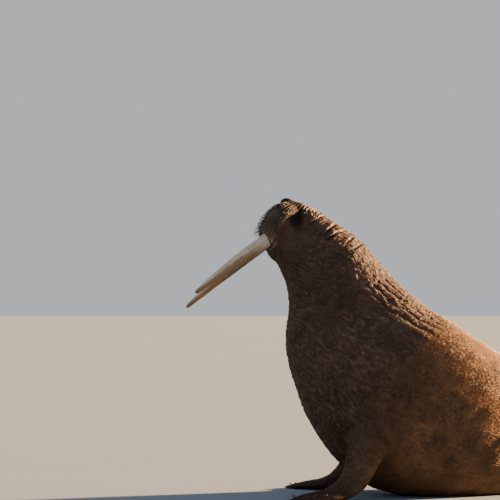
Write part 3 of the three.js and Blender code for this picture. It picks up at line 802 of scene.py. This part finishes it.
# Digits stand up between the webs of the flippers, with wrinkles across their joints.
digit = digitRidge(acrossFlipper)
joints = np.sin(2 * np.pi * (far + 0.012 * softNoise(points, 0.05, 62, 1)) / 0.030)
joints *= bell(far, 0.66, 0.09) + bell(far, 0.83, 0.05)
height += web * (topSide > 0) * (0.0030 * (digit - 0.5) * smoothStep(far, 0.45, 0.7) + 0.0012 * joints * digit)
height += web * 0.0012 * softNoise(points, 0.035, 61, 2)
height -= skinSizes["coatDepth"] * (1 - web)
points = points + normals * height[:, None]
points[:, 2] = np.maximum(points[:, 2], 0.0008)
mesh.vertices.foreach_set("co", points.astype(np.float32).ravel())
mesh.update()
mesh.polygons.foreach_set("use_smooth", np.full(len(mesh.polygons), True))
spotted = smoothStep(softNoise(points, 0.011, 73, 2), -0.55, 0.1)
pale = np.clip(0.26 * padness * (0.5 + 0.5 * softNoise(points, 0.03, 71, 1)) + 0.95 * lip * spotted, 0, 1)
mottle = smoothStep(softNoise(stretched, 0.013, 91, 2), 0.0, 0.7) * neckCover
mottle *= smoothStep(softNoise(points, 0.11, 93, 2), -0.4, 0.3)
bossTone = np.maximum(0.6 * smoothStep(boss + 0.5 * softNoise(points, 0.011, 77, 2), 0.15, 0.95), 0.55 * mottle)
warm = 0.3 * smoothStep(fading, 0.1, 0.5) * (1 - web)
warm *= np.clip(0.7 + 0.45 * softNoise(points, 0.10, 79, 3) + 0.3 * softNoise(points, 0.025, 81, 2), 0, 1.4)
# The nose and the top of the muzzle are nearly bare and dark, as the flippers are, and painted shade darkens them
# further.
slanted = inHead[:, 0] + 0.85 * (inHead[:, 2] - 0.11) + 0.012 * softNoise(points, 0.03, 97, 2)
noseBareAndShade = (1 - smoothStep(slanted, -0.275, -0.230)) * smoothStep(inHead[:, 2], -0.01, 0.05)
bare = np.maximum(0.9 * web, 0.92 * noseBareAndShade)
# Painted shade on the nose and the top of the muzzle, near black
paintedShadeAndSpots = np.maximum(paintedShadeAndSpots, 0.85 * noseBareAndShade)
bossTone *= 1 - noseBareAndShade
pale *= 1 - noseBareAndShade
skinMarks = {"boss": bossTone, "paintedShadeAndSpots": np.clip(paintedShadeAndSpots, 0, 0.92), "pale": pale, "bare": bare,
             "hair": warm * (1 - noseBareAndShade)}
for key, value in skinMarks.items():
    mesh.attributes.new(key, "FLOAT", "POINT").data.foreach_set("value", value.astype(np.float32))
skin = show("skin", mesh, hide, "hide", "muzzle", *fleshNodes)
print("skin shaped", len(mesh.polygons))

# Eyes
eyeBall = (0.0188, 0.0192, 0.0188)
for side, sign in sides.items():
    build = bmesh.new()
    x, y, z = head["eye"]
    place = headMatrix @ Matrix.Translation((x, y * sign, z)) @ Matrix.Diagonal((*eyeBall, 1))
    bmesh.ops.create_uvsphere(build, u_segments=48, v_segments=32, radius=1, matrix=place)
    ball = bpy.data.meshes.new("eyeball_" + side)
    build.to_mesh(ball)
    build.free()
    ball.polygons.foreach_set("use_smooth", np.full(len(ball.polygons), True))
    show("eyeball_" + side, ball, wetEye, "eye", "eye_" + side)


# Tusks, oval in section, with cracks and shallow grooves lengthwise
def tuskMesh(side, sign):
    rings, columns = 170, 72
    size = tuskSizes[side]
    x, y, z = tuskSizes["root"]
    turns = np.linspace(0, 2 * np.pi, columns, endpoint=False)
    t, a = np.meshgrid(np.linspace(0, 1, rings + 1), turns, indexing="ij")
    taper = (1 - t ** 1.9) ** 0.9
    rounding = np.sqrt(np.clip(1 - smoothStep(t, 0.975, 1.0) ** 2, 0.02, 1))
    deep = (tuskSizes["tipDeep"] + (tuskSizes["deep"] - tuskSizes["tipDeep"]) * taper) * rounding
    wide = (tuskSizes["tipWide"] + (tuskSizes["wide"] - tuskSizes["tipWide"]) * taper) * rounding
    strip = np.stack([t.ravel() * 1.6, np.cos(a).ravel() * 0.4, np.sin(a).ravel() * 0.4], axis=1)
    grain = np.stack([t.ravel() * 0.35, np.cos(a).ravel(), np.sin(a).ravel()], axis=1)
    groove = np.abs(softNoise(grain, 0.22, 3 + sign, 2)).reshape(t.shape)
    cracked = smoothStep(softNoise(strip, 0.25, 12 + sign, 1).reshape(t.shape), -0.1, 0.25)
    crack = (1 - smoothStep(groove, 0.0, 0.05)) * cracked
    swell = 0.0006 * softNoise(strip, 0.12, 9, 2).reshape(t.shape) - 0.0012 * crack
    swell -= 0.0005 * (1 - smoothStep(groove, 0, 0.2))
    px = x + size["start"] + size["lean"] * t - tuskSizes["bow"] * np.sin(np.pi * t) + (deep + swell) * np.cos(a)
    py = sign * (y + size["spread"] * t * t) + (wide + swell) * np.sin(a)
    pz = z - size["drop"] * t
    points = fromHead(np.stack([px, py, pz], axis=-1).reshape(-1, 3))
    i, j = np.meshgrid(np.arange(rings), np.arange(columns), indexing="ij")
    k = (j + 1) % columns
    here, beyond = i * columns, (i + 1) * columns
    faces = np.stack([here + j, here + k, beyond + k, beyond + j], axis=-1).reshape(-1, 4)
    mesh = meshFrom("tusk_" + side, points, faces)
    build = bmesh.new()
    build.from_mesh(mesh)
    bmesh.ops.holes_fill(build, edges=[e for e in build.edges if e.is_boundary])
    bmesh.ops.recalc_face_normals(build, faces=build.faces)
    build.to_mesh(mesh)
    build.free()
    cloud = softNoise(strip, 0.2, 5, 2).reshape(t.shape)
    # Each tusk is browner along its back, more so away from the root.
    rear = smoothStep(np.cos(a) + 0.9 * t - 0.25 + 0.22 * cloud, -0.15, 0.45)
    backBrown = rear * (0.2 + 0.7 * smoothStep(t, 0.12, 0.4))
    mottle = smoothStep(softNoise(strip, 0.09, 25 + sign, 2).reshape(t.shape), 0.25, 0.6) * bell(t, 0.42, 0.22)
    dirt = np.clip(0.75 * crack + 0.5 * mottle + 0.65 * smoothStep(t, 0.84, 1.0), 0, 0.85)
    for key, value in {"backBrown": backBrown, "crack": dirt}.items():
        mesh.attributes.new(key, "FLOAT", "POINT").data.foreach_set("value", value.ravel().astype(np.float32))
    return mesh


for side, sign in sides.items():
    show("ivory_tusk_" + side, tuskMesh(side, sign), ivory, "ivory", "tusk_" + side)
print("eyes and tusks made")


# Closed, tapered spikes made of rings, curling a little towards one direction on the way
def spikes(roots, directions, lengths, rootRadius, tipRadius, curl, corners=5, rings=4):
    count = len(roots)
    helper = np.where(np.abs(directions[:, 2:3]) < 0.9, [[0, 0, 1.0]], [[1.0, 0, 0]])
    u = np.cross(directions, helper)
    u /= np.linalg.norm(u, axis=1)[:, None]
    v = np.cross(directions, u)
    parts = []
    for r in range(rings):
        f = r / (rings - 1)
        centre = roots + directions * (lengths * f)[:, None] + curl * (f * f * lengths)[:, None]
        radius = rootRadius * (1 - f) + tipRadius * f
        for c in range(corners):
            turn = 2 * math.pi * c / corners
            parts.append(centre + (u * math.cos(turn) + v * math.sin(turn)) * radius)
    points = np.stack(parts, axis=1).reshape(-1, 3)
    single = []
    for r in range(rings - 1):
        for c in range(corners):
            d = (c + 1) % corners
            single.append((r * corners + c, r * corners + d, (r + 1) * corners + d))
            single.append((r * corners + c, (r + 1) * corners + d, (r + 1) * corners + c))
    last = (rings - 1) * corners
    for c in range(1, corners - 1):
        single.append((0, c + 1, c))
        single.append((last, last + c, last + c + 1))
    faces = (np.array(single)[None] + (np.arange(count) * rings * corners)[:, None, None]).reshape(-1, 3)
    return points, faces


rootsAll, liesAll, longAll = [], [], []
for sign in (-1, 1):
    roots, out, ring, rng = whiskerRoots(sign, whiskerSizes["each"])
    lie = 0.30 * out + np.array([0.03, 0, -0.75]) + 0.16 * (rng.random(roots.shape) - 0.5)
    lie /= np.linalg.norm(lie, axis=1)[:, None]
    long = whiskerSizes["short"] + (whiskerSizes["long"] - whiskerSizes["short"]) * smoothStep(ring, 0.15, 1.0)
    long = long * (0.75 + 0.45 * rng.random(len(roots)))
    rootsAll.append(fromHead(roots - lie * whiskerSizes["sunk"]))
    liesAll.append(lie @ headArray[:3, :3].T)
    longAll.append(long + whiskerSizes["sunk"])
roots, lies, longs = np.concatenate(rootsAll), np.concatenate(liesAll), np.concatenate(longAll)
tuskward = np.array(headMatrix.to_3x3() @ Vector((0, 0, -1)))
curl = whiskerSizes["curl"] * tuskward
points, faces = spikes(roots, lies, longs, whiskerSizes["root"], whiskerSizes["tip"], curl)
show("whiskers", meshFrom("whiskers", points, faces), bristleHorn, "muzzle_hide")
print("whiskers made", len(roots))

# Small dark claws, one on each digit
claw = {"root": 0.0052, "tip": 0.0012, "curl": (0, 0, -0.12)}
clawRoots, clawWays, clawLongs = [], [], []
for kind, part in flippers.items():
    for sign in (-1, 1):
        c = (2 * np.arange(5) + 1) / 5 - 1
        base = flipperPoint(kind, sign, np.full(5, part["clawAt"]), c, np.full(5, 0.72))[0]
        ahead = flipperPoint(kind, sign, np.full(5, part["clawAt"] + 0.06), c, np.full(5, 0.9))[0]
        way = ahead - base
        way[:, 2] = 0.002
        clawRoots.append(base)
        clawWays.append(way / np.linalg.norm(way, axis=1)[:, None])
        clawLongs.append(np.full(5, part["clawLength"]))
roots, ways, longs = np.concatenate(clawRoots), np.concatenate(clawWays), np.concatenate(clawLongs)
points, faces = spikes(roots, ways, longs, claw["root"], claw["tip"], np.array(claw["curl"]), corners=10, rings=7)
show("claws", meshFrom("claws", points, faces), clawHorn, "flipper_hide")
print("claws made", len(roots))

# Short hair lies back along the body in tufts, sparse on the neck and the flippers, and smallest on the face.
coat = {"pieces": 3, "tuftsEach": 46000, "bodyLong": 0.0190, "faceLong": 0.0060, "wide": 0.0019, "lift": 5.5,
        "bodyLength": 3.4}


def tuftPiece(name, seed):
    rng = np.random.default_rng(seed)
    count = coat["tuftsEach"]
    face = np.searchsorted(tuftChance, rng.random(count) * tuftChance[-1])
    corners = skinTriangles[face]
    weight = rng.random((count, 3)) ** 0.8
    weight /= weight.sum(1)[:, None]
    root = (skinPoints[corners] * weight[..., None]).sum(1)
    normal = (skinNormals[corners] * weight[..., None]).sum(1)
    normal /= np.linalg.norm(normal, axis=1)[:, None]
    stray = np.stack([softNoise(root, 0.06, 95 + k, 1) for k in range(3)], axis=1)
    way = skinWays[corners[:, 0]] + 0.22 * stray + 0.16 * (rng.random((count, 3)) - 0.5)
    way -= normal * (way * normal).sum(1)[:, None]
    way /= np.maximum(np.linalg.norm(way, axis=1)[:, None], 1e-6)
    small = skinSmall[corners[:, 0]]
    long = (coat["bodyLong"] * (1 - small) + coat["faceLong"] * small) * (0.7 + 0.6 * rng.random(count))
    wide = coat["wide"] * (0.7 + 0.6 * rng.random(count)) * (1 - 0.45 * small)
    rise = np.radians(coat["lift"] * (0.4 + 1.2 * rng.random(count)))
    tip = root + (way * np.cos(rise)[:, None] + normal * np.sin(rise)[:, None]) * long[:, None]
    tip[:, 2] = np.maximum(tip[:, 2], 0.001)
    across = np.cross(normal, way) * (wide / 2)[:, None]
    low = root - normal * 0.0008
    low[:, 2] = np.maximum(low[:, 2], 0.0008)
    points = np.stack([low - across, low + across, root + normal * 0.0009, tip], axis=1).reshape(-1, 3)
    single = np.array([(0, 2, 1), (0, 1, 3), (1, 2, 3), (2, 0, 3)])
    faces = (single[None] + (np.arange(count) * 4)[:, None, None]).reshape(-1, 3)
    mesh = meshFrom(name, points, faces)
    for key, value in skinMarks.items():
        mark = value[corners[:, 0]]
        if key == "hair":
            mark = mark + 0.08 + 0.22 * rng.random(count) * (1 - small * 0.6)
        mesh.attributes.new(key, "FLOAT", "POINT").data.foreach_set("value", np.repeat(mark, 4).astype(np.float32))
    # Each tuft is a small patch of the unwrapped skin, at its root's place round and along the body.
    place = np.stack([skinRound[corners[:, 0]], skinAlong[corners[:, 0]]], axis=1) * 0.99 + 0.005
    patch = np.array([(-0.0015, -0.0015), (0.0015, -0.0015), (0.0, 0.0), (0.0, 0.0015)])
    uv = (place[:, None] + patch[single.ravel()][None]).reshape(-1, 2)
    mesh.uv_layers.new(name="OFBake").data.foreach_set("uv", np.clip(uv, 0, 1).astype(np.float32).ravel())
    show(name, mesh, hide, "hide")


skinMesh = skin.data
skinMesh.calc_loop_triangles()
skinTriangles = np.empty(len(skinMesh.loop_triangles) * 3, np.int32)
skinMesh.loop_triangles.foreach_get("vertices", skinTriangles)
skinTriangles = skinTriangles.reshape(-1, 3)
skinPoints, skinNormals = pointsOf(skinMesh), normalsOf(skinMesh)
skinRound, skinAlong = angle / (2 * np.pi) + 0.5, np.clip(s / coat["bodyLength"], 0, 1)
skinSmall = np.maximum(1 - smoothStep(inHead[:, 0], -0.24, -0.06), web)
headBack = headArray[:3, 0]
skinWays = bodyWay * (1 - onHead)[:, None] + headBack * onHead[:, None]
skinWays = np.where(far[:, None] > 0.25, flipperWay, skinWays)
hairy = (0.35 + 0.65 * smoothStep(fading, 0.0, 0.4)) * (1 - 0.92 * web)
hairy *= (1 - 0.7 * skinMarks["boss"]) * (1 - 0.6 * skinMarks["paintedShadeAndSpots"])
hairy *= 1 - 0.9 * (1 - smoothStep(inHead[:, 0], -0.33, -0.20))
hairy = np.where(skinPoints[:, 2] < 0.004, 0, hairy)
edgeA = skinPoints[skinTriangles[:, 1]] - skinPoints[skinTriangles[:, 0]]
edgeB = skinPoints[skinTriangles[:, 2]] - skinPoints[skinTriangles[:, 0]]
tuftChance = np.cumsum(np.linalg.norm(np.cross(edgeA, edgeB), axis=1) * hairy[skinTriangles[:, 0]])
for piece in range(coat["pieces"]):
    tuftPiece("coat_" + str(piece + 1), 31 + piece)
print("coat made")
